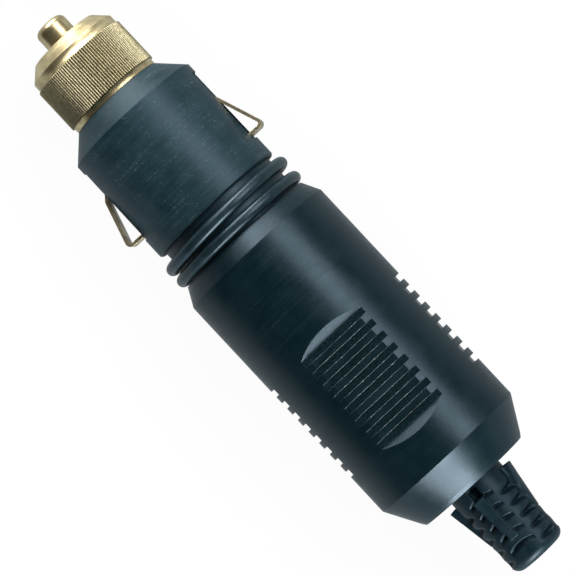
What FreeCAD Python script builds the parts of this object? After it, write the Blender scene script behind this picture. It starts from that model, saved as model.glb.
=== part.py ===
import FreeCAD, Part
import math
import os
import re
import Sketcher

# Lighter plug for a 21 mm accessory socket: a sprung centre contact in a screw cap that holds a fuse,
# two side springs for the return current, two sealing rings and a grooved handle with a cord boot.
# Millimetres. The plug lies along X with its tip at +X, the grooved grip faces +Z, and the origin is
# on the axis in the middle of the clear stretch of the nose barrel that the socket's bore fits.

doc = FreeCAD.newDocument("lighter_plug")
sheet = doc.addObject("Spreadsheet::Sheet", "Sizes")

# Every driving dimension, by name. Each gets a cell of its own in the sheet.
SIZES = {
    # Stations along the axis
    "fit_stretch": 3.2,
    "window_length": 12.5,
    "window_setback": 1.3,
    "nose_chamfer": 3.3,
    "neck_length": 5.5,
    "handle_length": 46.2,
    "boot_reach": 13.6,
    "cap_length": 10.85,
    "pin_reach": 3.35,

    # Contact pin
    "pin_radius": 2.42,
    "pin_tip_round": 1.0,
    "flange_radius": 3.9,
    "flange_thick": 1.2,
    "pin_skirt": 0.6,
    "pin_travel": 2.5,

    # Screw cap
    "cap_bevel": 1.8,
    "cap_top_band": 1.3,
    "knurl_length": 6.85,
    "cap_band_radius": 7.15,
    "knurl_radius": 7.46,
    "knurl_depth": 0.2,
    "knurl_count": 120,
    "cap_wall": 1.5,
    "cap_throat": 1.0,
    "thread_radius": 6.2,
    "thread_clearance": 0.1,
    "sliding_clearance": 0.08,
    "washer_thick": 0.8,
    "washer_radius": 5.2,
    "spigot_gap": 0.35,

    # Fuse and its spring
    "fuse_length": 31.8,
    "fuse_radius": 3.175,
    "fuse_cap_length": 6.35,
    "fuse_cap_wall": 0.25,
    "glass_clearance": 0.03,
    "glass_wall": 0.6,
    "element_radius": 0.25,
    "spring_length": 7.0,
    "spring_wire": 0.4,
    "spring_radius": 2.3,
    "spring_turns": 4.5,
    "spring_stretches": 9,
    "chamber_clearance": 0.275,
    "flange_clearance": 0.3,
    "cup_clearance": 0.1,

    # Nose barrel
    "nose_radius": 10.5,
    "nose_edge": 0.25,
    "nose_draft": 0.05,
    "neck_radius": 9.6,
    "chamber_wall": 1.75,
    "spigot_radius": 8.6,
    "bead_height": 0.3,
    "bead_width": 0.8,
    "bead_setback": 4.6,
    "seat_clearance": 0.1,
    "boss_length": 1.4,
    "boss_radius": 1.6,

    # Rear contact
    "contact_thick": 0.6,
    "stem_radius": 1.0,
    "stem_clearance": 0.05,
    "rivet_radius": 1.5,
    "rivet_height": 0.4,

    # Side windows, the ground yoke and the side springs
    "window_width": 5.4,
    "pocket_floor": 5.95,
    "yoke_thick": 0.5,
    "yoke_width": 4.6,
    "yoke_bend": 0.3,
    "yoke_hole_clearance": 0.1,
    "slot_clearance": 0.05,
    "riser_gap": 0.15,
    "lip_length": 1.9,
    "lip_gap": 0.05,
    "root_gap": 0.2,
    "leaf_thick": 0.45,
    "leaf_width": 5.0,
    "leaf_root_radius": 8.85,
    "leaf_root_length": 1.7,
    "leaf_rise_run": 2.4,
    "leaf_rise_right": 10.35,
    "leaf_rise_left": 10.85,
    "heel_gap": 0.55,
    "apex_right": 12.5,
    "apex_left": 12.7,
    "apex_round": 0.75,
    "leaf_tail": 9.45,

    # Sealing rings on the neck
    "ring_section": 0.87,
    "ring_seat": 0.02,
    "front_ring_setback": 1.95,
    "rear_ring_setback": 4.35,
    "front_ring_skew": 1.6,

    # Handle
    "handle_radius": 12.0,
    "front_face_radius": 10.65,
    "front_cone": 2.6,
    "rear_cone": 4.85,
    "rear_cone_radius": 9.25,
    "rear_face_radius": 8.85,
    "rear_corner": 0.55,
    "rear_wall": 4.2,
    "room_radius": 8.2,
    "flange_room": 0.2,
    "block_tail_gap": 0.5,

    # Grip
    "grip_setback": 18.3,
    "groove_count": 8,
    "groove_pitch": 2.144,
    "groove_width": 1.04,
    "groove_depth": 1.36,
    "rib_drop": 0.88,
    "side_depth": 0.8,

    # Terminal block, terminals and cord clamp
    "block_gap": 1.2,
    "cord_room": 3.9,
    "block_top": 1.8,
    "block_height": 3.8,
    "block_half_width": 7.0,
    "block_clearance": 0.1,
    "tongue_length": 4.2,
    "tongue_half_width": 3.0,
    "tongue_height": 1.4,
    "barrier_half_width": 0.7,
    "barrier_height": 5.0,
    "barrier_length": 12.0,
    "tab_inner": 2.3,
    "tab_outer": 6.3,
    "tab_length": 9.5,
    "plate_height": 1.9,
    "terminal_setback": 6.4,
    "screw_radius": 1.2,
    "screw_head_radius": 1.9,
    "screw_head_height": 1.5,
    "screw_length": 4.4,
    "driver_slot": 0.6,
    "saddle_side": 3.8,
    "saddle_thick": 0.5,
    "clamp_setback": 1.5,
    "clamp_length": 4.0,
    "clamp_spread": 4.6,
    "clamp_thick": 1.5,
    "clamp_half_width": 6.4,
    "clamp_gap": 2.2,
    "clamp_head_radius": 1.8,
    "clamp_head_height": 1.2,
    "clamp_screw_length": 7.2,

    # Cord boot
    "boot_radius": 4.4,
    "boot_hole_clearance": 0.1,
    "boot_round": 1.4,
    "cord_bore": 2.3,
    "boot_flange_radius": 6.2,
    "boot_flange_thick": 1.5,
    "boot_roll": 12.7,
    "fin_radius": 5.6,
    "fin_width": 1.6,
    "fin_gap": 1.0,
    "fin_length": 7.5,
    "slot_pitch": 2.05,
    "slot_width": 0.55,
    "slot_count": 5,
    "front_slot_setback": 3.25,
    "side_slot_setback": 1.85,
    "front_slot_floor": 3.9,
    "side_slot_floor": 2.9,
}
for row, (name, value) in enumerate(SIZES.items(), 1):
    sheet.set("A%d" % row, name)
    sheet.set("B%d" % row, str(value))
    sheet.setAlias("B%d" % row, name)
doc.recompute()

# Stations worked out from the sizes, measured from the origin along X
NOSE_REAR = "(-fit_stretch / 2)"
WINDOW_REAR = "(fit_stretch / 2)"
WINDOW_FRONT = "(fit_stretch / 2 + window_length)"
BARREL_FRONT = "(fit_stretch / 2 + window_length + window_setback)"
NOSE_FACE = "(" + BARREL_FRONT + " + nose_chamfer)"
CAP_FACE = "(" + NOSE_FACE + " + cap_length)"
WASHER_FRONT = "(" + CAP_FACE + " - cap_wall)"
WASHER_REAR = "(" + WASHER_FRONT + " - washer_thick)"
FUSE_FRONT = "(" + WASHER_REAR + " - flange_thick)"
FUSE_REAR = "(" + FUSE_FRONT + " - fuse_length)"
SPRING_REAR = "(" + FUSE_REAR + " - spring_length)"
CHAMBER_FLOOR = "(" + SPRING_REAR + " - contact_thick)"
SHOULDER = "(" + NOSE_REAR + " - neck_length)"
SPIGOT_REAR = "(" + CHAMBER_FLOOR + " - chamber_wall)"
BOSS_REAR = "(" + SPIGOT_REAR + " - boss_length)"
BLOCK_FRONT = "(" + BOSS_REAR + " - block_gap)"
HANDLE_REAR = "(" + SHOULDER + " - handle_length)"
BLOCK_REAR = "(" + HANDLE_REAR + " + rear_wall + boot_flange_thick + cord_room)"
TERMINAL = "(" + BLOCK_FRONT + " - terminal_setback)"
CLAMP_REAR = "(" + BLOCK_REAR + " + clamp_setback)"
TAIL = "(" + HANDLE_REAR + " - boot_reach)"


def tie(text):
    """Turn names of sizes into references to the sheet."""
    return re.sub(r"[a-z]\w*", lambda word: "Sizes." + word.group(0), text)


def get(name):
    """A size as a number, for the pieces that are shaped here."""
    return float(sheet.get(name))


def station(text):
    """A station as a number, worked out in a cell beside the sizes."""
    sheet.set("D1", "=" + text)
    doc.recompute()
    return float(sheet.get("D1"))


def base_plane(body, role):
    """One of the body's own origin planes."""
    return next(feature for feature in body.Origin.OriginFeatures if feature.Role == role)


def outline(body, role, *loops):
    """A sketch of closed loops whose corners are tied to the sizes."""
    sketch = body.newObject("Sketcher::SketchObject", body.Name + "_outline")
    sketch.AttachmentSupport = (base_plane(body, role), [""])
    sketch.MapMode = "FlatFace"
    first = 0
    for loop in loops:
        count = len(loop)
        for index in range(count):
            ends = [FreeCAD.Vector(math.cos(turn), math.sin(turn), 0)
                    for turn in (2 * math.pi * index / count, 2 * math.pi * (index + 1) / count)]
            sketch.addGeometry(Part.LineSegment(*ends), False)
        for index, corner in enumerate(loop):
            line = first + index
            after = first + (index + 1) % count
            sketch.addConstraint(Sketcher.Constraint("Coincident", line, 2, after, 1))
            for kind, text in zip(("DistanceX", "DistanceY"), corner):
                number = sketch.addConstraint(Sketcher.Constraint(kind, line, 1, 1.0))
                name = "corner%d%s" % (line, kind[-1])
                sketch.renameConstraint(number, name)
                sketch.setExpression("Constraints." + name, tie(text))
        first += count
    return sketch


def turned(label, start, profile):
    """A body of revolution about X; the profile's stations count from its rear end."""
    body = doc.addObject("PartDesign::Body", label)
    sketch = outline(body, "XY_Plane", profile)
    turning = body.newObject("PartDesign::Revolution", label + "_turning")
    turning.Profile = sketch
    turning.ReferenceAxis = (sketch, ["H_Axis"])
    turning.Angle = 360
    body.setExpression("Placement.Base.x", tie(start))
    doc.recompute()
    return body


def pocket(body, role, label, width, *loops):
    """A cut through the body, as wide as told, with its middle on the plane of its outline."""
    cut = body.newObject("PartDesign::Pocket", label)
    cut.Profile = outline(body, role, *loops)
    cut.Midplane = True
    cut.setExpression("Length", tie(width))
    before = body.Shape.Volume
    doc.recompute()
    if body.Shape.Volume >= before:
        raise RuntimeError(label + " cuts nothing")
    return cut


def repeated(body, cut, pitch, count):
    """Copies of a cut in a row along the axis, towards the rear."""
    pattern = body.newObject("PartDesign::LinearPattern", cut.Name + "_row")
    pattern.Originals = [cut]
    pattern.Direction = (cut.Profile[0], ["H_Axis"])
    pattern.Reversed = True
    pattern.setExpression("Length", tie(pitch + " * (" + count + " - 1)"))
    pattern.setExpression("Occurrences", tie(count))
    body.Tip = pattern
    doc.recompute()
    return pattern


def rounded(body, rim, radius):
    """Rounding of some of the body's edges, given by their numbers."""
    base = body.Tip
    rounding = body.newObject("PartDesign::Fillet", body.Name + "_rounding")
    rounding.Base = (base, ["Edge%d" % (index + 1) for index in rim])
    rounding.setExpression("Radius", tie(radius))
    doc.recompute()
    return body


def block(name, low, high):
    """A box between two corners."""
    box = doc.addObject("Part::Box", name)
    for side, axis, lower, upper in zip(("Length", "Width", "Height"), "xyz", low, high):
        box.setExpression(side, tie("(" + upper + ") - (" + lower + ")"))
        box.setExpression("Placement.Base." + axis, tie(lower))
    return box


def rod(name, along, start, length, radius):
    """A cylinder from a point, along X or Z."""
    cylinder = doc.addObject("Part::Cylinder", name)
    if along == "X":
        cylinder.Placement.Rotation = FreeCAD.Rotation(FreeCAD.Vector(0, 1, 0), 90)
    for axis, text in zip("xyz", start):
        cylinder.setExpression("Placement.Base." + axis, tie(text))
    cylinder.setExpression("Height", tie(length))
    cylinder.setExpression("Radius", tie(radius))
    return cylinder


def joined(name, *pieces):
    fused = doc.addObject("Part::MultiFuse", name)
    fused.Shapes = list(pieces)
    fused.Refine = True
    return fused


def without(name, base, tool):
    cut = doc.addObject("Part::Cut", name)
    cut.Base = base
    cut.Tool = tool
    cut.Refine = False
    return cut


def shaped(name, shape):
    """A piece with a shape made here, for forms that no parametric feature fits."""
    piece = doc.addObject("Part::Feature", name)
    piece.Shape = shape
    return piece


def bent_strip(corners, bends, thick, width):
    """Sheet strip bent at the inner corners of a path in XY, with its thickness to one side of it."""
    points = [FreeCAD.Vector(x, y, -width / 2) for x, y in corners]
    edges = []
    start = points[0]
    for before, corner, after, bend in zip(points, points[1:], points[2:], bends):
        into = (corner - before).normalize()
        out = (after - corner).normalize()
        turn = into.getAngle(out)
        reach = bend * math.tan(turn / 2)
        entry = corner - into * reach
        leave = corner + out * reach
        middle = corner + (out - into).normalize() * (bend / math.cos(turn / 2) - bend)
        edges.append(Part.LineSegment(start, entry).toShape())
        edges.append(Part.Arc(entry, middle, leave).toShape())
        start = leave
    edges.append(Part.LineSegment(start, points[-1]).toShape())
    face = Part.Wire(edges).makeOffset2D(thick, 0, True, True, False)
    return face.extrude(FreeCAD.Vector(0, 0, width))


# Contact pin: turned brass, a round-ended stem on a flange whose skirt holds the fuse's front cap.
def contact_pin():
    reach = "(pin_skirt + flange_thick + washer_thick + cap_wall + pin_reach)"
    flange = "(pin_skirt + flange_thick)"
    cup = "(fuse_radius + cup_clearance)"
    pin = turned("contact_pin", FUSE_FRONT + " - pin_skirt", [
        ("0", cup), ("0", "flange_radius"), (flange, "flange_radius"), (flange, "pin_radius"),
        (reach, "pin_radius"), (reach, "0"), ("pin_skirt", "0"), ("pin_skirt", cup)])
    rim = [index for index, edge in enumerate(pin.Shape.Edges)
           if abs(edge.CenterOfMass.x - pin.Shape.BoundBox.XMax) < 0.01]
    return rounded(pin, rim, "pin_tip_round")


# Screw cap: turned brass, with a straight-knurled band between two smooth ones. Its thread is plain here.
def end_cap():
    inner = "(thread_radius + thread_clearance)"
    hole = "(pin_radius + sliding_clearance)"
    knurl_end = "(cap_length - cap_bevel - cap_top_band)"
    shell = turned("cap_turning", NOSE_FACE, [
        ("0", inner), ("0", "cap_band_radius"), ("cap_length - cap_bevel", "cap_band_radius"),
        ("cap_length", "cap_band_radius - cap_bevel"), ("cap_length", hole),
        ("cap_length - cap_wall", hole), ("cap_length - cap_wall", inner + " - cap_throat"),
        ("cap_length - cap_wall - cap_throat", inner)])
    count = int(get("knurl_count"))
    crest = get("knurl_radius")
    root = crest - get("knurl_depth")
    ridges = []
    for index in range(2 * count):
        turn = math.pi * index / count
        radius = crest if index % 2 else root
        ridges.append(FreeCAD.Vector(0, radius * math.cos(turn), radius * math.sin(turn)))
    rim = Part.makePolygon(ridges + ridges[:1])
    core = Part.makeCylinder(get("thread_radius") + get("cap_wall") / 2, get("knurl_length"),
                             FreeCAD.Vector(), FreeCAD.Vector(1, 0, 0))
    knurl = shaped("knurl", Part.Face(rim).extrude(FreeCAD.Vector(get("knurl_length"), 0, 0)).cut(core))
    knurl.setExpression("Placement.Base.x", tie(NOSE_FACE + " + " + knurl_end + " - knurl_length"))
    return joined("end_cap", shell, knurl)


# Fibre washer between the pin's flange and the cap; it rides with the cap and doesn't turn.
def pin_washer():
    return turned("pin_washer", WASHER_REAR, [
        ("0", "pin_radius + sliding_clearance"), ("0", "washer_radius"),
        ("washer_thick", "washer_radius"), ("washer_thick", "pin_radius + sliding_clearance")])


# Glass fuse: a tube between two pressed caps, with a wire down its middle.
def fuse():
    sleeve = "(fuse_radius - fuse_cap_wall)"
    tube = "(fuse_radius - fuse_cap_wall - glass_clearance)"
    turned("fuse_cap_rear", FUSE_REAR, [
        ("0", "0"), ("0", "fuse_radius"), ("fuse_cap_length", "fuse_radius"),
        ("fuse_cap_length", sleeve), ("fuse_cap_wall", sleeve), ("fuse_cap_wall", "0")])
    turned("fuse_cap_front", FUSE_FRONT + " - fuse_cap_length", [
        ("0", sleeve), ("0", "fuse_radius"), ("fuse_cap_length", "fuse_radius"), ("fuse_cap_length", "0"),
        ("fuse_cap_length - fuse_cap_wall", "0"), ("fuse_cap_length - fuse_cap_wall", sleeve)])
    glass_end = "(fuse_length - 2 * fuse_cap_wall)"
    turned("fuse_glass", FUSE_REAR + " + fuse_cap_wall", [
        ("0", tube + " - glass_wall"), ("0", tube), (glass_end, tube), (glass_end, tube + " - glass_wall")])
    rod("fuse_wire", "X", (FUSE_REAR + " + fuse_cap_wall", "0", "0"), glass_end, "element_radius")


# Coil spring that pushes the fuse and the pin forward.
def fuse_spring():
    coil = doc.addObject("Part::Helix", "spring_path")
    coil.setExpression("Height", tie("spring_length - 2 * spring_wire"))
    coil.setExpression("Pitch", tie("(spring_length - 2 * spring_wire) / spring_turns"))
    coil.setExpression("Radius", tie("spring_radius"))
    coil.setExpression("SegmentLength", tie("spring_turns / spring_stretches"))
    doc.recompute()
    rise = (get("spring_length") - 2 * get("spring_wire")) / get("spring_turns")
    lead = math.degrees(math.atan(rise / (2 * math.pi * get("spring_radius"))))
    wire = doc.addObject("Part::Circle", "spring_section")
    wire.setExpression("Radius", tie("spring_wire"))
    wire.Placement.Rotation = FreeCAD.Rotation(FreeCAD.Vector(1, 0, 0), 90 + lead)
    wire.setExpression("Placement.Base.x", tie("spring_radius"))
    spring = doc.addObject("Part::Sweep", "fuse_spring")
    spring.Sections = [wire]
    spring.Spine = (coil, ["Edge%d" % (index + 1) for index in range(len(coil.Shape.Edges))])
    spring.Solid = True
    spring.Frenet = True
    spring.Placement.Rotation = FreeCAD.Rotation(FreeCAD.Vector(0, 1, 0), 90)
    spring.setExpression("Placement.Base.x", tie(SPRING_REAR + " + spring_wire"))
    return spring


# Rear contact: a brass disc at the bottom of the fuse chamber, its stem riveted over the positive tab.
def rear_contact():
    floor = "(" + CHAMBER_FLOOR + " - " + BOSS_REAR + " + yoke_thick + rivet_height)"
    return turned("rear_contact", BOSS_REAR + " - yoke_thick - rivet_height", [
        ("0", "0"), ("0", "rivet_radius"), ("rivet_height", "rivet_radius"),
        ("rivet_height", "stem_radius"), (floor, "stem_radius"),
        (floor, "fuse_radius"), (floor + " + contact_thick", "fuse_radius"),
        (floor + " + contact_thick", "0")])


# Nose barrel: one moulding from the threaded spigot under the cap, over the barrel with its two
# windows and the neck for the rings, to the spigot that snaps into the handle.
def nose_barrel():
    def at(station):
        return "(" + station + " - " + BOSS_REAR + ")"
    chamber = "(fuse_radius + chamber_clearance)"
    flange_bore = "(flange_radius + flange_clearance)"
    front = "(" + at(WASHER_REAR) + " - spigot_gap)"
    bore_floor = "(" + at(FUSE_FRONT) + " - pin_skirt - pin_travel - spigot_gap)"
    bead = "(" + at(SHOULDER) + " - bead_setback)"
    turning = turned("nose_turning", BOSS_REAR, [
        ("0", "stem_radius + stem_clearance"), ("0", "boss_radius"), ("boss_length", "boss_radius"),
        ("boss_length", "spigot_radius"), (bead + " - bead_width", "spigot_radius"),
        (bead + " - bead_width / 2", "spigot_radius + bead_height"), (bead, "spigot_radius"),
        (at(SHOULDER), "spigot_radius"), (at(SHOULDER), "neck_radius"),
        (at(NOSE_REAR), "neck_radius"), (at(NOSE_REAR), "nose_radius - nose_edge"),
        (at(NOSE_REAR) + " + nose_edge", "nose_radius"), (at(WINDOW_REAR), "nose_radius"),
        (at(BARREL_FRONT), "nose_radius - nose_draft"),
        (at(NOSE_FACE), "nose_radius - nose_chamfer"), (at(NOSE_FACE), "thread_radius"),
        (front, "thread_radius"), (front, flange_bore), (bore_floor, flange_bore),
        (bore_floor, chamber), (at(CHAMBER_FLOOR), chamber),
        (at(CHAMBER_FLOOR), "stem_radius + stem_clearance")])
    cuts = []
    for side, low, high in (("left", "pocket_floor", "nose_radius + 1"),
                            ("right", "-nose_radius - 1", "-pocket_floor")):
        cuts.append(block("window_" + side, (WINDOW_REAR, low, "-window_width / 2"),
                          (WINDOW_FRONT, high, "window_width / 2")))
    for side, low, high in (("left", "pocket_floor", "pocket_floor + yoke_thick + 2 * slot_clearance"),
                            ("right", "-pocket_floor - yoke_thick - 2 * slot_clearance", "-pocket_floor")):
        cuts.append(block("leg_slot_" + side, (SPIGOT_REAR, low, "-yoke_width / 2 - slot_clearance"),
                          (WINDOW_REAR, high, "yoke_width / 2 + slot_clearance")))
    cuts.append(block("tongue_seat", (
        SPIGOT_REAR, "-tongue_half_width - slot_clearance", "-block_top - block_height - slot_clearance"), (
        BLOCK_FRONT + " + tongue_length + slot_clearance", "tongue_half_width + slot_clearance",
        "-block_top - block_height + tongue_height + slot_clearance")))
    return without("nose_barrel", turning, joined("nose_cuts", *cuts))


# Side springs: bronze strip, held under the yoke's lip at the front of each window, rising over the
# barrel to a rounded heel, with its tail turned back into the window.
def side_spring(name, side, rise, apex):
    root_y = get("leaf_root_radius")
    root = station(WINDOW_FRONT + " - riser_gap - yoke_thick - root_gap")
    bend = root - get("leaf_root_length")
    crest = bend - get("leaf_rise_run")
    heel = station(WINDOW_REAR + " + heel_gap")
    middle = heel + get("apex_round")
    drop = apex - get("apex_round") - rise
    slope = (math.atan2(drop, crest - middle)
             + math.asin(get("apex_round") / math.hypot(drop, crest - middle)))
    corners = [(root, root_y), (bend, root_y), (crest, rise),
               (heel, rise + (crest - heel) * math.tan(slope)), (heel, get("leaf_tail"))]
    strip = bent_strip([(x, side * y) for x, y in corners], [get("apex_round")] * 3,
                       -side * get("leaf_thick"), get("leaf_width"))
    return shaped(name, strip)


# Ground yoke: one brass strip behind the nose, a leg through each side of the moulding with its end
# turned up and back over the root of a side spring, and a tab for the return wire.
def ground_yoke():
    thick = get("yoke_thick")
    rear = station(SPIGOT_REAR + " - yoke_bend")
    leg = get("pocket_floor") + get("slot_clearance")
    riser = station(WINDOW_FRONT + " - riser_gap")
    lip = get("leaf_root_radius") + get("lip_gap") + thick
    half = [(rear, leg), (riser, leg), (riser, lip), (riser - get("lip_length"), lip)]
    path = [(x, -y) for x, y in reversed(half)] + half
    turns = [thick + get("yoke_bend")] * 2 + [get("yoke_bend")] * 2 + [thick + get("yoke_bend")] * 2
    strip = shaped("yoke_strip", bent_strip(path, turns, -thick, get("yoke_width")))
    crossbar = "(" + SPIGOT_REAR + " - yoke_bend - yoke_thick)"
    tab = block("ground_tab", (BLOCK_FRONT + " - tab_length", "-tab_outer", "-block_top"),
                (crossbar + " + yoke_thick", "-tab_inner", "-block_top + yoke_thick"))
    holes = joined("yoke_holes",
                   rod("boss_hole", "X", (crossbar + " - 1", "0", "0"), "yoke_thick + 2",
                       "boss_radius + yoke_hole_clearance"),
                   rod("ground_screw_hole", "Z", (TERMINAL, "-(tab_inner + tab_outer) / 2", "-block_top - 1"),
                       "yoke_thick + 2", "screw_radius + stem_clearance"))
    return without("ground_yoke", joined("yoke_blank", strip, tab), holes)


# Positive tab: a brass angle riveted behind the boss by the rear contact's stem.
def positive_tab():
    upright = block("tab_upright", (BOSS_REAR + " - yoke_thick", "-plate_height", "-block_top"),
                    (BOSS_REAR, "tab_outer", "plate_height"))
    tab = block("tab_foot", (BLOCK_FRONT + " - tab_length", "tab_inner", "-block_top"),
                (BOSS_REAR, "tab_outer", "-block_top + yoke_thick"))
    holes = joined("tab_holes",
                   rod("stem_hole", "X", (BOSS_REAR + " - yoke_thick - 1", "0", "0"), "yoke_thick + 2",
                       "stem_radius + stem_clearance"),
                   rod("tab_screw_hole", "Z", (TERMINAL, "(tab_inner + tab_outer) / 2", "-block_top - 1"),
                       "yoke_thick + 2", "screw_radius + stem_clearance"))
    return without("positive_tab", joined("tab_blank", upright, tab), holes)


# Sealing rings: round-section rubber on the plain neck, the front one a little askew.
def sealing_ring(name, setback, skew):
    ring = doc.addObject("Part::Torus", name)
    ring.setExpression("Radius1", tie("neck_radius + ring_seat + ring_section"))
    ring.setExpression("Radius2", tie("ring_section"))
    ring.setExpression("Placement.Base.x", tie(NOSE_REAR + " - " + setback))
    turn = FreeCAD.Rotation(FreeCAD.Vector(0, 0, 1), skew)
    ring.Placement.Rotation = turn.multiply(FreeCAD.Rotation(FreeCAD.Vector(0, 1, 0), 90))
    return ring


# Handle: one moulding, coned at both ends, bored from the front. Its grip has a hollow with 45 degree
# ends across the top and the bottom, ribbed by the same row of grooves, and plain slots at the sides.
def handle_body():
    top = "(handle_length - front_cone)"
    groove = "(handle_length - bead_setback)"
    bore = "(spigot_radius + seat_clearance)"
    step = "(" + SPIGOT_REAR + " - " + HANDLE_REAR + " - spigot_gap)"
    pocket_front = "(" + BLOCK_REAR + " - " + HANDLE_REAR + " - block_tail_gap)"
    flange_seat = "(boot_flange_radius + flange_room)"
    handle = turned("handle_body", HANDLE_REAR, [
        ("0", "boot_radius + boot_hole_clearance"), ("0", "rear_face_radius"),
        ("rear_corner", "rear_cone_radius"), ("rear_corner + rear_cone", "handle_radius"),
        (top, "handle_radius"), ("handle_length", "front_face_radius"), ("handle_length", bore),
        (groove + " + seat_clearance", bore),
        (groove + " - bead_width / 2", bore + " + bead_height + seat_clearance"),
        (groove + " - bead_width - seat_clearance", bore),
        (step, bore), (step, "room_radius"), (pocket_front, "room_radius"),
        (pocket_front, flange_seat), ("rear_wall", flange_seat),
        ("rear_wall", "boot_radius + boot_hole_clearance")])
    front = "(handle_length - grip_setback)"
    rear = "(" + front + " - groove_pitch * (groove_count - 1) - groove_width)"
    clear = "(handle_radius + 1)"
    groove_floor = "(handle_radius - groove_depth)"
    rib_top = "(handle_radius - rib_drop)"
    side_floor = "(handle_radius - side_depth)"

    def hollow(way):
        def level(height):
            return way + height
        return [(front, level(groove_floor)), (front + " + groove_depth + 1", level(clear)),
                (rear + " - groove_depth - 1", level(clear)), (rear, level(groove_floor)),
                (rear + " + groove_width", level(groove_floor)), (rear + " + groove_width", level(rib_top)),
                (front + " - groove_width", level(rib_top)), (front + " - groove_width", level(groove_floor))]

    def slot(start, way, floor):
        return [(start, way + floor), (start, way + clear), (start + " - groove_width", way + clear),
                (start + " - groove_width", way + floor)]

    inner = front + " - groove_pitch"
    pocket(handle, "XZ_Plane", "grip_hollows", "2 * handle_radius", hollow(""), hollow("-"))
    first = pocket(handle, "XZ_Plane", "grip_groove", "2 * handle_radius",
                   slot(inner, "", groove_floor), slot(inner, "-", groove_floor))
    repeated(handle, first, "groove_pitch", "(groove_count - 2)")
    side = pocket(handle, "XY_Plane", "side_slot", "2 * handle_radius",
                  slot(front, "", side_floor), slot(front, "-", side_floor))
    repeated(handle, side, "groove_pitch", "groove_count")
    return handle


# Terminal block: an insulating moulding behind the nose, keyed into it by a tongue, with a barrier
# between the two tabs and a trough with two posts for the cord clamp.
def terminal_block():
    low = "-block_top - block_height"
    body = block("block_base", (BLOCK_REAR, "-block_half_width", low),
                 (BLOCK_FRONT, "block_half_width", "-block_top"))
    tongue = block("block_tongue", (BLOCK_FRONT + " - 1", "-tongue_half_width", low),
                   (BLOCK_FRONT + " + tongue_length", "tongue_half_width", low + " + tongue_height"))
    barrier = block("block_barrier", (BLOCK_FRONT + " - barrier_length", "-barrier_half_width", low),
                    (BLOCK_FRONT, "barrier_half_width", "-block_top + barrier_height"))
    posts = block("block_posts", (CLAMP_REAR, "-clamp_half_width", low),
                  (CLAMP_REAR + " + clamp_length", "clamp_half_width", "clamp_gap"))
    tool = [rod("block_trough", "X", (BLOCK_REAR + " - 1", "0", "0"),
                "clamp_length + 2 * clamp_setback + 2", "cord_bore"),
            block("block_throat", (CLAMP_REAR + " - 1", "-cord_bore", "0"),
                  (CLAMP_REAR + " + clamp_length + 1", "cord_bore", "clamp_gap + 1"))]
    for side, way in (("left", ""), ("right", "-")):
        tool.append(rod("block_screw_hole_" + side, "Z", (
            TERMINAL, way + "(tab_inner + tab_outer) / 2", "-block_top + yoke_thick + saddle_thick - screw_length"
            " - stem_clearance"), "screw_length", "screw_radius + stem_clearance"))
        tool.append(rod("post_hole_" + side, "Z", (
            CLAMP_REAR + " + clamp_length / 2", way + "clamp_spread",
            "clamp_gap + clamp_thick - clamp_screw_length - stem_clearance"), "clamp_screw_length",
            "screw_radius + stem_clearance"))
    room = rod("handle_room", "X", (BLOCK_REAR + " - 1", "0", "0"), BLOCK_FRONT + " - " + BLOCK_REAR + " + tongue_length + 2",
               "room_radius - block_clearance")
    blank = doc.addObject("Part::MultiCommon", "block_blank")
    blank.Shapes = [joined("block_sum", body, tongue, barrier, posts), room]
    return without("terminal_block", blank, joined("block_tool", *tool))


# Slotted screws that cut their own way into the block: two on the tabs, two on the clamp.
def screw_pair(name, centre, offset, seat, length, head_radius, head_height):
    screws = []
    for side, way in (("left", ""), ("right", "-")):
        middle = way + offset
        solid = joined(name + "_solid_" + side,
                       rod(name + "_shank_" + side, "Z", (centre, middle, seat + " - " + length), length,
                           "screw_radius"),
                       rod(name + "_head_" + side, "Z", (centre, middle, seat), head_height, head_radius))
        driver = block(name + "_driver_" + side, (
            centre + " - " + head_radius, middle + " - driver_slot / 2", seat + " + " + head_height + " / 2"), (
            centre + " + " + head_radius, middle + " + driver_slot / 2", seat + " + " + head_height + " + 1"))
        screws.append(without(name + "_" + side, solid, driver))
    pair = doc.addObject("Part::Compound", name)
    pair.Links = screws
    return pair


# Square saddle washers under the terminal screws.
def saddle_washers():
    pads = []
    for side, way in (("left", ""), ("right", "-")):
        middle = way + "(tab_inner + tab_outer) / 2"
        pad = block("saddle_" + side, (
            TERMINAL + " - saddle_side / 2", middle + " - saddle_side / 2", "-block_top + yoke_thick"), (
            TERMINAL + " + saddle_side / 2", middle + " + saddle_side / 2",
            "-block_top + yoke_thick + saddle_thick"))
        hole = rod("saddle_hole_" + side, "Z", (TERMINAL, middle, "-block_top"),
                   "yoke_thick + saddle_thick + 1", "screw_radius + stem_clearance")
        pads.append(without("saddle_washer_" + side, pad, hole))
    pair = doc.addObject("Part::Compound", "saddle_washers")
    pair.Links = pads
    return pair


# Cord clamp: a bar across the trough, drawn down by two screws.
def cord_clamp():
    bar = block("clamp_bar", (CLAMP_REAR, "-clamp_half_width", "clamp_gap"),
                (CLAMP_REAR + " + clamp_length", "clamp_half_width", "clamp_gap + clamp_thick"))
    holes = [rod("clamp_hole_" + side, "Z", (CLAMP_REAR + " + clamp_length / 2", way + "clamp_spread",
                                             "clamp_gap - 1"), "clamp_thick + 2",
                 "screw_radius + stem_clearance") for side, way in (("left", ""), ("right", "-"))]
    holes.append(rod("clamp_trough", "X", (CLAMP_REAR + " - 1", "0", "0"), "clamp_length + 2", "cord_bore"))
    return without("cord_clamp", bar, joined("clamp_tool", *holes))


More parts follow.
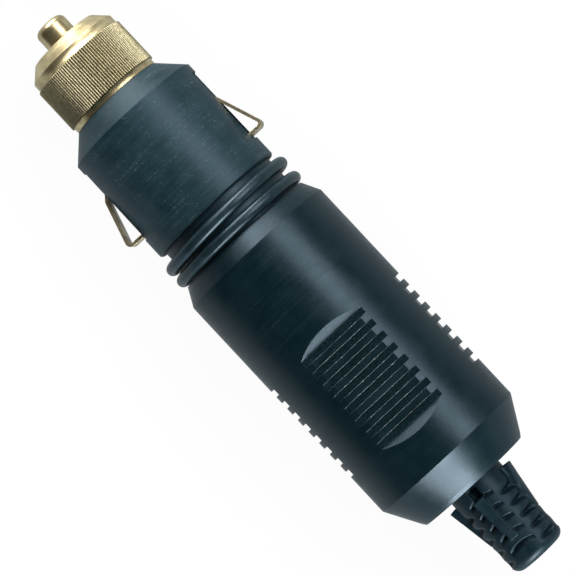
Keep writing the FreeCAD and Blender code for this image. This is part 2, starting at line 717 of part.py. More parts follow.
# Cord boot: rubber, pulled through the handle's rear wall up to its flange. Staggered flat slots let it
# bend, and four tapered fins bridge them.
def cord_boot():
    inner = "(boot_reach + rear_wall)"
    boot = turned("boot_turning", TAIL, [
        ("0", "cord_bore"), ("0", "boot_radius"), (inner, "boot_radius"), (inner, "boot_flange_radius"),
        (inner + " + boot_flange_thick", "boot_flange_radius"), (inner + " + boot_flange_thick", "cord_bore")])
    rim = [index for index, edge in enumerate(boot.Shape.Edges)
           if abs(edge.CenterOfMass.x - boot.Shape.BoundBox.XMin) < 0.01
           and edge.Length > 2 * math.pi * (get("boot_radius") - 0.01)]
    rounded(boot, rim, "boot_round")
    clear = "(boot_radius + 1)"
    slots = []
    for name, plane, setback, floor in (("front", "XZ_Plane", "front_slot_setback", "front_slot_floor"),
                                        ("side", "XY_Plane", "side_slot_setback", "side_slot_floor")):
        start = "(" + setback + " + slot_pitch * (slot_count - 1))"
        loops = [[(start + " - slot_width / 2", way + floor), (start + " - slot_width / 2", way + clear),
                  (start + " + slot_width / 2", way + clear), (start + " + slot_width / 2", way + floor)]
                 for way in ("", "-")]
        slots.append(pocket(boot, plane, name + "_slots", "2 * boot_radius + 2", *loops))
        repeated(boot, slots[-1], "slot_pitch", "slot_count")
    tip = "(boot_reach - fin_gap)"
    fins = []
    for quarter, root in enumerate(("front_slot_floor", "side_slot_floor") * 2):
        fin = doc.addObject("PartDesign::Body", "fin_%d" % quarter)
        pad = fin.newObject("PartDesign::Pad", "fin_pad_%d" % quarter)
        pad.Profile = outline(fin, "XZ_Plane", [
            (tip, root), (tip, "fin_radius"), (tip + " - fin_length", "boot_radius"),
            (tip + " - fin_length", root)])
        pad.Midplane = True
        pad.setExpression("Length", tie("fin_width"))
        fin.setExpression("Placement.Base.x", tie(TAIL))
        fin.Placement.Rotation = FreeCAD.Rotation(FreeCAD.Vector(1, 0, 0), 90 * quarter)
        fins.append(fin)
    rubber = joined("cord_boot", boot, *fins)
    rubber.Placement.Rotation = FreeCAD.Rotation(FreeCAD.Vector(1, 0, 0), -get("boot_roll"))
    return rubber


contact_pin()
end_cap()
pin_washer()
fuse()
fuse_spring()
rear_contact()
nose_barrel()
side_spring("side_spring_left", 1, get("leaf_rise_left"), get("apex_left"))
side_spring("side_spring_right", -1, get("leaf_rise_right"), get("apex_right"))
ground_yoke()
positive_tab()
sealing_ring("sealing_ring_front", "front_ring_setback", get("front_ring_skew"))
sealing_ring("sealing_ring_rear", "rear_ring_setback", 0)
handle_body()
terminal_block()
saddle_washers()
screw_pair("terminal_screws", TERMINAL, "(tab_inner + tab_outer) / 2",
           "(-block_top + yoke_thick + saddle_thick)", "screw_length", "screw_head_radius",
           "screw_head_height")
cord_clamp()
screw_pair("clamp_screws", "(" + CLAMP_REAR + " + clamp_length / 2)", "clamp_spread",
           "(clamp_gap + clamp_thick)", "clamp_screw_length", "clamp_head_radius", "clamp_head_height")
cord_boot()

PIECES = [
    "contact_pin", "end_cap", "pin_washer", "fuse_cap_front", "fuse_cap_rear", "fuse_glass", "fuse_wire",
    "fuse_spring", "rear_contact", "nose_barrel", "side_spring_left", "side_spring_right", "ground_yoke",
    "positive_tab", "sealing_ring_front", "sealing_ring_rear", "handle_body", "terminal_block",
    "saddle_washers", "terminal_screws", "cord_clamp", "clamp_screws", "cord_boot"]
SOLIDS = {"saddle_washers": 2, "terminal_screws": 2, "clamp_screws": 2}

doc.recompute()
for thing in doc.Objects:
    if "Invalid" in thing.State or "Error" in thing.State:
        raise RuntimeError(thing.Name + " failed")
os.makedirs("parts", exist_ok=True)
for name in PIECES:
    piece = doc.getObject(name)
    piece.Label = name
    shape = piece.Shape
    if shape.isNull() or not shape.isValid() or len(shape.Solids) != SOLIDS.get(name, 1):
        raise RuntimeError(name + " isn't sound")
    shape.exportStep("parts/" + name + ".step")
    box = shape.BoundBox
    print("%-18s %8.1f mm3  x %6.2f %6.2f  y %6.2f %6.2f  z %6.2f %6.2f" % (
        name, shape.Volume, box.XMin, box.XMax, box.YMin, box.YMax, box.ZMin, box.ZMax))
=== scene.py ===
"""Lighter plug, lying on its handle with the grip up. Metres, in the frame of its CAD solids:
the tip points along +X, the grip hollow faces +Z, and the left side spring is at +Y."""

import math

import bmesh
import bpy
from mathutils import Matrix, Vector, noise as noise_field


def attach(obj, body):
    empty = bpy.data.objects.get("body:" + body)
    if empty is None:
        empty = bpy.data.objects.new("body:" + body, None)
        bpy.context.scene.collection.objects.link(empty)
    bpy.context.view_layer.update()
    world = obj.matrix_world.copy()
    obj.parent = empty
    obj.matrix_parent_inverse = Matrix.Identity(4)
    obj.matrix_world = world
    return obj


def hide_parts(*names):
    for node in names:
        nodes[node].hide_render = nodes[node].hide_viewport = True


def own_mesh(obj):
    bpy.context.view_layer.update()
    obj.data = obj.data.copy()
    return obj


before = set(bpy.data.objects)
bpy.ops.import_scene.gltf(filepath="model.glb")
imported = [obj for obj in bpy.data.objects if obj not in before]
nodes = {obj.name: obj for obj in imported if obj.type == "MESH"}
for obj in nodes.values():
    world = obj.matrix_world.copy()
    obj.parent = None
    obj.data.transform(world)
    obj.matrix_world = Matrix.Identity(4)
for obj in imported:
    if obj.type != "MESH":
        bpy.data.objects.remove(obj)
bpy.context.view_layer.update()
MM = 0.001

# Nose barrel: one black moulding, a stepped tube that carries everything at the front. It has been in
# and out of sockets for years, so it is rubbed all round and its edges have gone pale.


def finish(name, colour, roughness, metal=0.0):
    """A new material for one of the plug's finishes: the material, its tree and its shader."""
    material = bpy.data.materials.new(name)
    material.use_nodes = True
    tree = material.node_tree
    shader = tree.nodes["Principled BSDF"]
    shader.inputs["Base Color"].default_value = (*colour, 1)
    shader.inputs["Roughness"].default_value = roughness
    shader.inputs["Metallic"].default_value = metal
    return material, tree, shader


def plug_in(tree, socket, value):
    """A link where the value is another node's output, and a plain setting otherwise."""
    if isinstance(value, bpy.types.NodeSocket):
        tree.links.new(value, socket)
    else:
        socket.default_value = value


def math_node(tree, operation, *values):
    node = tree.nodes.new("ShaderNodeMath")
    node.operation = operation
    for socket, value in zip(node.inputs, values):
        plug_in(tree, socket, value)
    return node.outputs[0]


def product(tree, first, *others):
    for other in others:
        first = math_node(tree, "MULTIPLY", first, other)
    return first


def places(tree):
    """Where a point is on the plug: its x, y and z in millimetres, and its distance from the axis."""
    point = tree.nodes.new("ShaderNodeTexCoord").outputs["Object"]
    scaled = tree.nodes.new("ShaderNodeVectorMath")
    scaled.operation = "SCALE"
    tree.links.new(point, scaled.inputs[0])
    scaled.inputs["Scale"].default_value = 1 / MM
    parts = tree.nodes.new("ShaderNodeSeparateXYZ")
    tree.links.new(scaled.outputs[0], parts.inputs[0])
    x, y, z = parts.outputs
    across = math_node(tree, "ADD", product(tree, y, y), product(tree, z, z))
    return x, y, z, math_node(tree, "SQRT", across)


def vector(tree, *values):
    node = tree.nodes.new("ShaderNodeCombineXYZ")
    for socket, value in zip(node.inputs, values):
        plug_in(tree, socket, value)
    return node.outputs[0]


def noise(tree, point, scale, detail=3.0, roughness=0.5):
    node = tree.nodes.new("ShaderNodeTexNoise")
    plug_in(tree, node.inputs["Vector"], point)
    node.inputs["Scale"].default_value = scale
    node.inputs["Detail"].default_value = detail
    node.inputs["Roughness"].default_value = roughness
    return node.outputs["Fac"]


def ranged(tree, value, low, high, new_low=0.0, new_high=1.0):
    """A value moved from one range to another, and kept inside it."""
    node = tree.nodes.new("ShaderNodeMapRange")
    for socket, setting in zip(node.inputs, (value, low, high, new_low, new_high)):
        plug_in(tree, socket, setting)
    return node.outputs[0]


def within(tree, value, low, high, edge):
    """1 between two places and 0 outside them, with an edge as wide as told."""
    return product(tree, ranged(tree, value, low - edge, low), ranged(tree, value, high + edge, high))


def blended(tree, factor, first, second):
    """One colour going over into another."""
    node = tree.nodes.new("ShaderNodeMix")
    node.data_type = "RGBA"
    plug_in(tree, node.inputs[0], factor)
    for socket, colour in ((node.inputs[6], first), (node.inputs[7], second)):
        plug_in(tree, socket, colour if isinstance(colour, bpy.types.NodeSocket) else (*colour, 1))
    return node.outputs[2]


def raised(tree, height, depth, strength=1.0, below=None):
    """A bump as deep as told, in metres, for a height from 0 to 1."""
    node = tree.nodes.new("ShaderNodeBump")
    node.inputs["Strength"].default_value = strength
    node.inputs["Distance"].default_value = depth
    plug_in(tree, node.inputs["Height"], height)
    if below is not None:
        plug_in(tree, node.inputs["Normal"], below)
    return node.outputs[0]


def edges(tree, width):
    """The normal that small rounded edges give, and where those edges are."""
    rounded = tree.nodes.new("ShaderNodeBevel")
    rounded.inputs["Radius"].default_value = width
    flat = tree.nodes.new("ShaderNodeNewGeometry").outputs["Normal"]
    turn = tree.nodes.new("ShaderNodeVectorMath")
    turn.operation = "DOT_PRODUCT"
    tree.links.new(rounded.outputs[0], turn.inputs[0])
    tree.links.new(flat, turn.inputs[1])
    return rounded.outputs[0], ranged(tree, turn.outputs["Value"], 0.97, 0.76)


def lathe_lines(tree, spots, fineness, drift):
    """Fine lines that run round the axis, as a lathe or a socket's bore leaves them."""
    x, y, z, radius = spots
    along = product(tree, math_node(tree, "MULTIPLY_ADD", radius, 0.6, x), fineness)
    point = vector(tree, along, product(tree, y, drift), product(tree, z, drift))
    return noise(tree, point, 1.0, 4.0, 0.6)


def black_moulding(name, dark, light, scuff, roughness, wear, burr, edge_width, add_marks=None):
    """Black plastic with faint mottling, rubbed lines round the axis, specks and pale broken edges.
    add_marks() takes the tree, spots, edges, colour and chips, and gives the last two back changed."""
    material, tree, shader = finish(name, dark, roughness)
    shader.inputs["Specular Tint"].default_value = (*SHEEN, 1)
    spots = places(tree)
    x, y, z = spots[:3]
    point = vector(tree, x, y, z)
    clouds = noise(tree, point, 0.35, 4.0)
    lines = lathe_lines(tree, spots, 9.0, 0.12)
    specks = noise(tree, point, 3.2, 2.0, 0.7)
    grain = noise(tree, point, 14.0, 2.0)
    streaks = math_node(tree, "ADD", product(tree, clouds, 0.45), product(tree, lines, 0.55))
    ground = blended(tree, ranged(tree, streaks, 0.38, 0.62), dark, light)
    rubbed = product(tree, ranged(tree, lines, 0.56, 0.70), ranged(tree, specks, 0.50, 0.68))
    along_slant = math_node(tree, "MULTIPLY_ADD", y, 0.8, x)
    across_slant = product(tree, math_node(tree, "MULTIPLY_ADD", x, -0.7, y), 6.0)
    scratches = noise(tree, vector(tree, along_slant, across_slant, z), 1.0, 4.0, 0.7)
    nicks = product(tree, ranged(tree, scratches, 0.60, 0.70), ranged(tree, specks, 0.48, 0.62))
    handled = ranged(tree, clouds, 0.42, 0.58, 0.35, 1.0)
    worn = product(tree, math_node(tree, "MAXIMUM", rubbed, nicks), handled, wear)
    rounded, edge = edges(tree, edge_width)
    torn = noise(tree, point, 2.6, 3.0, 0.75)
    chips = product(tree, edge, ranged(tree, torn, 0.48, 0.64), burr)
    if add_marks:
        ground, chips = add_marks(tree, spots, edge, ground, chips)
    colour = blended(tree, math_node(tree, "MAXIMUM", worn, chips), ground, scuff)
    plug_in(tree, shader.inputs["Base Color"], colour)
    in_lines = ranged(tree, lines, 0.3, 0.7, -0.05, 0.07)
    in_clouds = ranged(tree, clouds, 0.3, 0.7, roughness - 0.04, roughness + 0.04)
    plug_in(tree, shader.inputs["Roughness"], math_node(tree, "ADD", in_lines, in_clouds))
    below = raised(tree, grain, 0.012 * MM, 0.5, rounded)
    plug_in(tree, shader.inputs["Normal"], raised(tree, lines, 0.014 * MM, 0.6, below))
    return material


def dress(material, *names):
    """Puts a finish on CAD nodes whose shape is right as it is."""
    for name in names:
        mesh = nodes[name].data
        mesh.materials.clear()
        mesh.materials.append(material)


SHEEN = (0.62, 0.83, 1.0)
NOSE_DARK = (0.0030, 0.0150, 0.0210)
NOSE_LIGHT = (0.0115, 0.0320, 0.0410)
NOSE_SCUFF = (0.16, 0.20, 0.21)
NOSE_EDGE = 0.11 * MM
nose_moulding = black_moulding("nose_moulding", NOSE_DARK, NOSE_LIGHT, NOSE_SCUFF, 0.45, 1.0, 0.25, NOSE_EDGE)
dress(nose_moulding, "nose_barrel")

# Rear contact, ground yoke and positive tab: pressed brass sheet, behind and beside the nose's bore.
# Only the yoke's turned-back lips show, through the side windows.


def worked_metal(name, dark, light, roughness, fineness=10.0):
    """Bare metal with tool lines round the axis and duller clouds."""
    material, tree, shader = finish(name, light, roughness, 1.0)
    spots = places(tree)
    lines = lathe_lines(tree, spots, fineness, 0.1)
    clouds = noise(tree, vector(tree, *spots[:3]), 0.5, 4.0, 0.6)
    plug_in(tree, shader.inputs["Base Color"], blended(tree, ranged(tree, clouds, 0.35, 0.62), dark, light))
    in_lines = ranged(tree, lines, 0.3, 0.7, -0.06, 0.06)
    in_clouds = ranged(tree, clouds, 0.3, 0.7, roughness + 0.05, roughness - 0.03)
    plug_in(tree, shader.inputs["Roughness"], math_node(tree, "ADD", in_lines, in_clouds))
    rounded = edges(tree, METAL_EDGE)[0]
    plug_in(tree, shader.inputs["Normal"], raised(tree, lines, 0.01 * MM, 0.7, rounded))
    return material


SHEET_DARK = (0.38, 0.31, 0.16)
SHEET_LIGHT = (0.64, 0.54, 0.30)
METAL_EDGE = 0.06 * MM
sheet_brass = worked_metal("sheet_brass", SHEET_DARK, SHEET_LIGHT, 0.34, 3.0)
dress(sheet_brass, "rear_contact", "ground_yoke", "positive_tab")

# Side springs: bent bronze strip, each held under the yoke's lip at the front of a window. It rises over
# the barrel to a rounded heel, and its tail turns back into the window.
STRIP_DARK = (0.30, 0.25, 0.16)
STRIP_LIGHT = (0.68, 0.60, 0.38)
strip_bronze = worked_metal("strip_bronze", STRIP_DARK, STRIP_LIGHT, 0.38, 5.0)
dress(strip_bronze, "side_spring_left", "side_spring_right")

# Glass fuse: a clear tube between two pressed and nickelled caps, with the fuse wire down its middle. It
# stands in the nose's bore, between the contact pin and the fuse spring.
NICKEL_DARK = (0.55, 0.54, 0.50)
NICKEL_LIGHT = (0.74, 0.74, 0.72)
fuse_nickel = worked_metal("fuse_nickel", NICKEL_DARK, NICKEL_LIGHT, 0.22, 6.0)
dress(fuse_nickel, "fuse_cap_front", "fuse_cap_rear", "fuse_wire")
glass, glass_tree, glass_shader = finish("fuse_tube_glass", (0.93, 0.96, 0.96), 0.04)
glass_shader.inputs["Transmission Weight"].default_value = 1.0
glass_smears = noise(glass_tree, vector(glass_tree, *places(glass_tree)[:3]), 0.8)
plug_in(glass_tree, glass_shader.inputs["Roughness"], ranged(glass_tree, glass_smears, 0.4, 0.7, 0.02, 0.12))
dress(glass, "fuse_glass")

# Fuse spring: drawn steel wire, coiled, between the fuse and the rear contact. It shortens when the
# contact pin goes in, so it is shown by a copy of the CAD solid's mesh that can be squashed.
WIRE_DARK = (0.36, 0.36, 0.37)
WIRE_LIGHT = (0.56, 0.57, 0.58)
coil = bpy.data.objects.new("coiled_spring", nodes["fuse_spring"].data.copy())
bpy.context.scene.collection.objects.link(coil)
coil.data.materials.clear()
coil.data.materials.append(worked_metal("spring_wire_steel", WIRE_DARK, WIRE_LIGHT, 0.3, 4.0))
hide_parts("fuse_spring")
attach(coil, "housing")
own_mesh(coil)

# Sealing rings: two rings of round black rubber, moulded whole and rolled over the spigot onto the
# nose's neck. They are smooth enough to shine a little.
RING_DARK = (0.006, 0.016, 0.020)
RING_LIGHT = (0.010, 0.024, 0.030)
PLAIN = (1.0, 1.0, 1.0)


def matt_finish(name, colour, paler, roughness, grain_size, depth, tint=PLAIN, shine=0.5):
    """Rubber, fibre or matt plastic: a little mottled, with a fine grain."""
    material, tree, shader = finish(name, colour, roughness)
    shader.inputs["Specular Tint"].default_value = (*tint, 1)
    shader.inputs["Specular IOR Level"].default_value = shine
    point = vector(tree, *places(tree)[:3])
    clouds = noise(tree, point, 0.6, 3.0)
    grain = noise(tree, point, grain_size, 3.0)
    plug_in(tree, shader.inputs["Base Color"], blended(tree, ranged(tree, clouds, 0.35, 0.65), colour, paler))
    in_clouds = ranged(tree, clouds, 0.3, 0.7, roughness - 0.05, roughness + 0.07)
    plug_in(tree, shader.inputs["Roughness"], in_clouds)
    plug_in(tree, shader.inputs["Normal"], raised(tree, grain, depth, 0.6))
    return material


ring_rubber = matt_finish("ring_rubber", RING_DARK, RING_LIGHT, 0.34, 9.0, 0.008 * MM, SHEEN)
dress(ring_rubber, "sealing_ring_front", "sealing_ring_rear")

# Fibre washer: a disc punched from red-brown pressed fibre. It lies between the contact pin's flange and
# the screw cap.
FIBRE_DARK = (0.30, 0.13, 0.08)
FIBRE_LIGHT = (0.46, 0.23, 0.15)
dress(matt_finish("pressed_fibre", FIBRE_DARK, FIBRE_LIGHT, 0.75, 6.0, 0.01 * MM), "pin_washer")

# Contact pin: turned brass with a rounded end, and a flange that keeps it in the screw cap. The centre
# contact of the socket rubs it bright.
CAP_DARK = (0.52, 0.41, 0.21)
CAP_LIGHT = (0.86, 0.72, 0.42)
dress(worked_metal("turned_brass", CAP_DARK, CAP_LIGHT, 0.32), "contact_pin")

# Screw cap: turned from the same brass and screwed onto the nose, with a straight knurl. Painted shade
# darkens it between its ridges, in uneven patches. The CAD solid is shown here with rounded corners and
# uneven ridges. Sizes are in millimetres along and out from the axis, as the CAD has them.
CAP_REAR, CAP_FRONT = 18.70, 29.55
CAP_BORE, PIN_HOLE, CAP_WALL = 6.30, 2.50, 1.50
CAP_BEVEL, INNER_BEVEL = 1.80, 1.00
BAND_RADIUS, CREST_RADIUS = 7.15, 7.46
KNURL_REAR, KNURL_FRONT, KNURL_LEAN = 19.60, 26.45, 0.02
KNURL_MARGIN, KNURL_ROWS = 0.4, 14
RIDGES, RIDGE_STEPS = 120, 8
RIDGE_DEPTH, RIDGE_WEAR, RIDGE_STRAY = 0.20, 0.035, 0.10
ROUND_SMALL, ROUND_CORNER, ROUND_BEVEL = 0.08, 0.10, 0.12
CORNER_STEPS = 3


def rounded_path(corners, steps):
    """A closed outline of (along, out) points from corners of (along, out, round), with each corner
    turned through an arc, and a point just beside it that keeps the flats flat."""
    beside = 0.15
    path = []
    for number, (along, out, rounding) in enumerate(corners):
        corner = Vector((along, out))
        if not rounding:
            path.append(corner)
            continue
        before = (Vector(corners[number - 1][:2]) - corner).normalized()
        after = (Vector(corners[(number + 1) % len(corners)][:2]) - corner).normalized()
        half = before.angle(after) / 2
        reach = rounding / math.tan(half)
        middle = corner + (before + after).normalized() * (rounding / math.sin(half))
        first, last = corner + before * reach, corner + after * reach
        path.append(first + before * rounding * beside)
        for step in range(steps + 1):
            spoke = (first - middle).normalized().slerp((last - middle).normalized(), step / steps)
            path.append(middle + spoke * rounding)
        path.append(last + after * rounding * beside)
    return path


def with_rows(path, radius, start, end, count):
    """An outline with evenly spaced points added to its flat at a radius."""
    before = [number for number, (along, out) in enumerate(path)
              if abs(out - radius) < 0.01 and (start - along) * (end - start) >= 0]
    added = [Vector((start + (end - start) * step / count, radius)) for step in range(count + 1)]
    cut = before[-1] + 1
    return path[:cut] + added + path[cut:]


def turned_skin(name, path, columns, moved=None):
    """A closed skin from an outline swept round the axis; moved() shifts a point along and outward."""
    points, faces = [], []
    for column in range(columns):
        turn = 2 * math.pi * column / columns
        for along, out in path:
            if moved:
                along, out = moved(along, out, turn)
            points.append((along * MM, out * math.sin(turn) * MM, out * math.cos(turn) * MM))
    rows = len(path)
    for column in range(columns):
        here, there = column * rows, (column + 1) % columns * rows
        for row in range(rows):
            above = (row + 1) % rows
            faces.append((here + row, here + above, there + above, there + row))
    mesh = bpy.data.meshes.new(name)
    mesh.from_pydata(points, [], faces)
    net = bmesh.new()
    net.from_mesh(mesh)
    bmesh.ops.recalc_face_normals(net, faces=net.faces)
    net.to_mesh(mesh)
    net.free()
    mesh.shade_smooth()
    piece = bpy.data.objects.new(name, mesh)
    bpy.context.scene.collection.objects.link(piece)
    return piece


def knurled(along, out, turn):
    """The ridges of the knurl: rounded crests, a little uneven in height and at the band's rear end."""
    if out < BAND_RADIUS + 0.08:
        return along, out
    place = turn / (2 * math.pi) * RIDGES
    ridge = abs(math.sin(math.pi * place))
    worn = abs(noise_field.noise(Vector((math.floor(place) * 0.73, along * 0.35, 0.0))))
    depth = RIDGE_DEPTH * (1 - ridge ** 0.8) * (out - BAND_RADIUS) / (CREST_RADIUS - BAND_RADIUS)
    if along < KNURL_REAR + 0.3:
        along += RIDGE_STRAY * noise_field.noise(Vector((math.floor(place) * 0.31, 5.0, 0.0)))
    return along, out - depth - RIDGE_WEAR * ridge * worn


cap_path = rounded_path([
    (CAP_REAR, CAP_BORE, 0), (CAP_REAR, BAND_RADIUS, ROUND_CORNER), (KNURL_REAR, BAND_RADIUS, 0),
    (KNURL_REAR + KNURL_LEAN, CREST_RADIUS, ROUND_CORNER),
    (KNURL_FRONT - KNURL_LEAN, CREST_RADIUS, ROUND_CORNER), (KNURL_FRONT, BAND_RADIUS, 0),
    (CAP_FRONT - CAP_BEVEL, BAND_RADIUS, ROUND_BEVEL),
    (CAP_FRONT, BAND_RADIUS - CAP_BEVEL, ROUND_BEVEL), (CAP_FRONT, PIN_HOLE, ROUND_SMALL),
    (CAP_FRONT - CAP_WALL, PIN_HOLE, 0), (CAP_FRONT - CAP_WALL, CAP_BORE - INNER_BEVEL, 0),
    (CAP_FRONT - CAP_WALL - INNER_BEVEL, CAP_BORE, 0)], CORNER_STEPS)
cap_path = with_rows(cap_path, CREST_RADIUS, KNURL_REAR + KNURL_MARGIN, KNURL_FRONT - KNURL_MARGIN, KNURL_ROWS)
screw_cap = turned_skin("screw_cap", cap_path, RIDGES * RIDGE_STEPS, knurled)
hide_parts("end_cap")
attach(screw_cap, "cap")
CREST_BRASS = (0.60, 0.53, 0.33)
# The root colour is painted shade for the knurl's grooves, not the brass's own colour.
SHADED_ROOT_BRASS = (0.070, 0.055, 0.026)


def knurled_brass():
    """Turned brass, duller on the knurl, with painted shade dark in its grooves."""
    material, tree, shader = finish("knurled_brass", CAP_LIGHT, 0.26, 1.0)
    spots = places(tree)
    x, y, z, radius = spots
    point = vector(tree, x, y, z)
    lines = lathe_lines(tree, spots, 10.0, 0.1)
    clouds = noise(tree, point, 0.45, 4.0, 0.6)
    patchy_shade = noise(tree, point, 2.2, 3.0, 0.7)
    on_knurl = product(tree, within(tree, x, KNURL_REAR + 0.05, KNURL_FRONT - 0.05, 0.1),
                       ranged(tree, radius, BAND_RADIUS - 0.15, BAND_RADIUS - 0.05))
    # Painted shade: the knurl darkens from its crests toward its roots, darker still in uneven patches.
    height = ranged(tree, radius, CREST_RADIUS - 0.19, CREST_RADIUS - 0.05)
    height = product(tree, height, ranged(tree, patchy_shade, 0.30, 0.55, 0.45, 1.0))
    ridge_colour = blended(tree, height, SHADED_ROOT_BRASS, CREST_BRASS)
    band_colour = blended(tree, ranged(tree, clouds, 0.30, 0.60), CAP_DARK, CAP_LIGHT)
    plug_in(tree, shader.inputs["Base Color"], blended(tree, on_knurl, band_colour, ridge_colour))
    in_lines = ranged(tree, lines, 0.3, 0.7, 0.32, 0.44)
    plug_in(tree, shader.inputs["Roughness"], math_node(tree, "ADD", in_lines, product(tree, on_knurl, 0.06)))
    plug_in(tree, shader.inputs["Normal"], raised(tree, lines, 0.010 * MM, 0.6))
    return material


screw_cap.data.materials.append(knurled_brass())

# Terminal block and cord clamp: pale insulating mouldings inside the handle, with zinc-plated steel
# screws and saddle washers that hold the wires and the cord.
BLOCK_DARK = (0.46, 0.43, 0.36)
BLOCK_LIGHT = (0.56, 0.53, 0.46)
block_plastic = matt_finish("block_plastic", BLOCK_DARK, BLOCK_LIGHT, 0.5, 3.0, 0.01 * MM)
dress(block_plastic, "terminal_block", "cord_clamp")
ZINC_DARK = (0.44, 0.44, 0.43)
ZINC_LIGHT = (0.62, 0.62, 0.60)
screw_zinc = worked_metal("screw_zinc", ZINC_DARK, ZINC_LIGHT, 0.32, 4.0)
dress(screw_zinc, "terminal_screws", "clamp_screws", "saddle_washers")

# Handle: black moulding again, satin, coned at both ends and snapped over the nose's spigot. The ribs of
# its grip are cut with a broken pale burr, and the grooves between them hold dust.
HANDLE_DARK = (0.0002, 0.0075, 0.0105)
HANDLE_LIGHT = (0.0012, 0.0105, 0.0140)
HANDLE_SCUFF = (0.72, 0.86, 0.78)
HANDLE_EDGE = 0.15 * MM
DUST = (0.012, 0.048, 0.058)
GRIP_REAR, GRIP_FRONT, GRIP_RADIUS = -41.45, -25.40, 11.75
RIB_TOP, GROOVE_FLOOR = 11.10, 10.675
TORN_RIGHT, TORN_LEFT = -3.5, 5.4


def grip_marks(tree, spots, edge, ground, chips):
    """Dust in the grooves of the grip, and a torn burr along the middle of its ribs."""
    x, y, z, radius = spots
    point = vector(tree, x, y, z)
    sunk = ranged(tree, radius, GRIP_RADIUS + 0.05, GRIP_RADIUS - 0.05)
    in_grip = product(tree, sunk, within(tree, x, GRIP_REAR, GRIP_FRONT, 0.2))
    specks = ranged(tree, noise(tree, point, 3.2, 2.0, 0.7), 0.40, 0.70)
    dust = product(tree, within(tree, z, GROOVE_FLOOR - 0.125, GROOVE_FLOOR + 0.125, 0.05), in_grip, specks)
    on_ribs = product(tree, within(tree, z, RIB_TOP - 0.15, RIB_TOP + 0.15, 0.05),
                      within(tree, y, TORN_RIGHT, TORN_LEFT, 0.3), in_grip)
    torn = ranged(tree, noise(tree, point, 2.6, 3.0, 0.75), 0.50, 0.60, 0.16, 1.0)
    torn_ribs = product(tree, on_ribs, edge, torn)
    return blended(tree, dust, ground, DUST), math_node(tree, "MAXIMUM", chips, torn_ribs)


handle_moulding = black_moulding("handle_moulding", HANDLE_DARK, HANDLE_LIGHT, HANDLE_SCUFF,
                                 0.35, 0.03, 0.06, HANDLE_EDGE, grip_marks)
dress(handle_moulding, "handle_body")

# Cord boot: one soft black moulding, matt, held by its flange inside the handle's rear wall. It has a fin
# on each of four sides, and rows of scoops that let it bend. Sizes are in millimetres, and its four
# sides are numbered round from the grip's side.
BOOT_TAIL, BOOT_FRONT, BOOT_RADIUS, BOOT_BORE = -66.9, -47.6, 4.40, 2.30
FLANGE_REAR, FLANGE_RADIUS, FLANGE_ROUND = -49.1, 6.2, 0.1
TAIL_ROUND, BORE_ROUND, BOOT_STEPS = 1.4, 0.15, 8
SKIN_FRONT, SKIN_ROWS, BOOT_COLUMNS = -53.4, 170, 288
BOOT_ROLL = math.radians(12.7)
SCOOP_PITCH, SCOOPS = 2.05, 5
NOTCH_FIRST, NOTCH_HALF, NOTCH_FLARE, NOTCH_DEPTHS = 1.75, 0.26, 0.008, {1: 0.65, 3: 0.90}
LIP_FIRST, LIP_BOW, LIP_DEPTH, LIP_SPREAD = 3.55, 0.42, 0.46, 28
FIN_FRONTS = (-55.35, -54.45, -55.35, -54.45)
FIN_LENGTH, FIN_HALF, FIN_TAPER, FIN_RISE, FIN_ROOT = 7.2, 0.80, 0.14, 1.15, 0.05
SOCKET_FRONT, SOCKET_DEPTH = -53.7, 0.9


def smooth_step(value, low, high):
    share = min(max((value - low) / (high - low), 0.0), 1.0)
    return share * share * (3 - 2 * share)


def off_side(turn, side):
    """How far round a place is from the middle of one of the boot's sides, either way."""
    return (turn - BOOT_ROLL - side * math.pi / 2 + math.pi) % (2 * math.pi) - math.pi


def notch(along, apart, number, deepest):
    """How deep a smooth notch across the left or right side is at a place."""
    middle = BOOT_TAIL + NOTCH_FIRST + SCOOP_PITCH * number
    width = NOTCH_HALF + NOTCH_FLARE * max(50 - apart, 0)
    deep = deepest * smooth_step(apart, 58, 36)
    deep *= 0.06 + 0.94 * smooth_step(apart, 6, 20)
    return deep * math.exp(-((along - middle) / width) ** 2)


def lip(along, apart, number):
    """How deep the boot drops behind a sharp bowed lip across its top or bottom side."""
    wall = BOOT_TAIL + LIP_FIRST + SCOOP_PITCH * number - LIP_BOW * (apart / LIP_SPREAD) ** 2
    beyond = wall - along
    deep = LIP_DEPTH * math.sqrt(1 - (apart / LIP_SPREAD) ** 2)
    return deep * smooth_step(beyond, 0, 0.16) * smooth_step(beyond, 0.95, 0.3)


def scooped(along, turn):
    """The boot's outside radius at a place, with its scoops and without its fins."""
    height = BOOT_RADIUS
    for side in range(4):
        apart = abs(math.degrees(off_side(turn, side)))
        for number in range(SCOOPS):
            if side in NOTCH_DEPTHS:
                height -= notch(along, apart, number, NOTCH_DEPTHS[side])
            elif apart < LIP_SPREAD:
                height -= lip(along, apart, number)
    return height


def boot_skin(along, out, turn):
    """Moves the boot's plain outside: scoops, the four fins, and the socket before the top fin."""
    if abs(out - BOOT_RADIUS) > 0.02 or not BOOT_TAIL + 1.3 < along < SKIN_FRONT - 0.05:
        return along, out
    height = scooped(along, turn)
    for side, start in enumerate(FIN_FRONTS):
        aside = off_side(turn, side)
        if abs(aside) > math.pi / 4:
            continue
        if start - FIN_LENGTH < along < start:
            share = (start - along) / FIN_LENGTH
            half = FIN_HALF - FIN_TAPER * share
            across = abs(math.sin(aside)) * (BOOT_RADIUS + 0.4)
            fin = BOOT_RADIUS + FIN_ROOT + FIN_RISE * (1 - share)
            if side not in NOTCH_DEPTHS:
                fin /= math.cos(aside)
            blend = smooth_step(across, half + 0.10, half - 0.02) * smooth_step(start - along, 0.0, 0.10)
            height += (fin - height) * blend
        elif side == 0 and start <= along < SOCKET_FRONT:
            mouth = smooth_step(abs(aside), 0.19, 0.14)
            height -= SOCKET_DEPTH * mouth * smooth_step(SOCKET_FRONT - along, 0, 0.5)
    return along, height


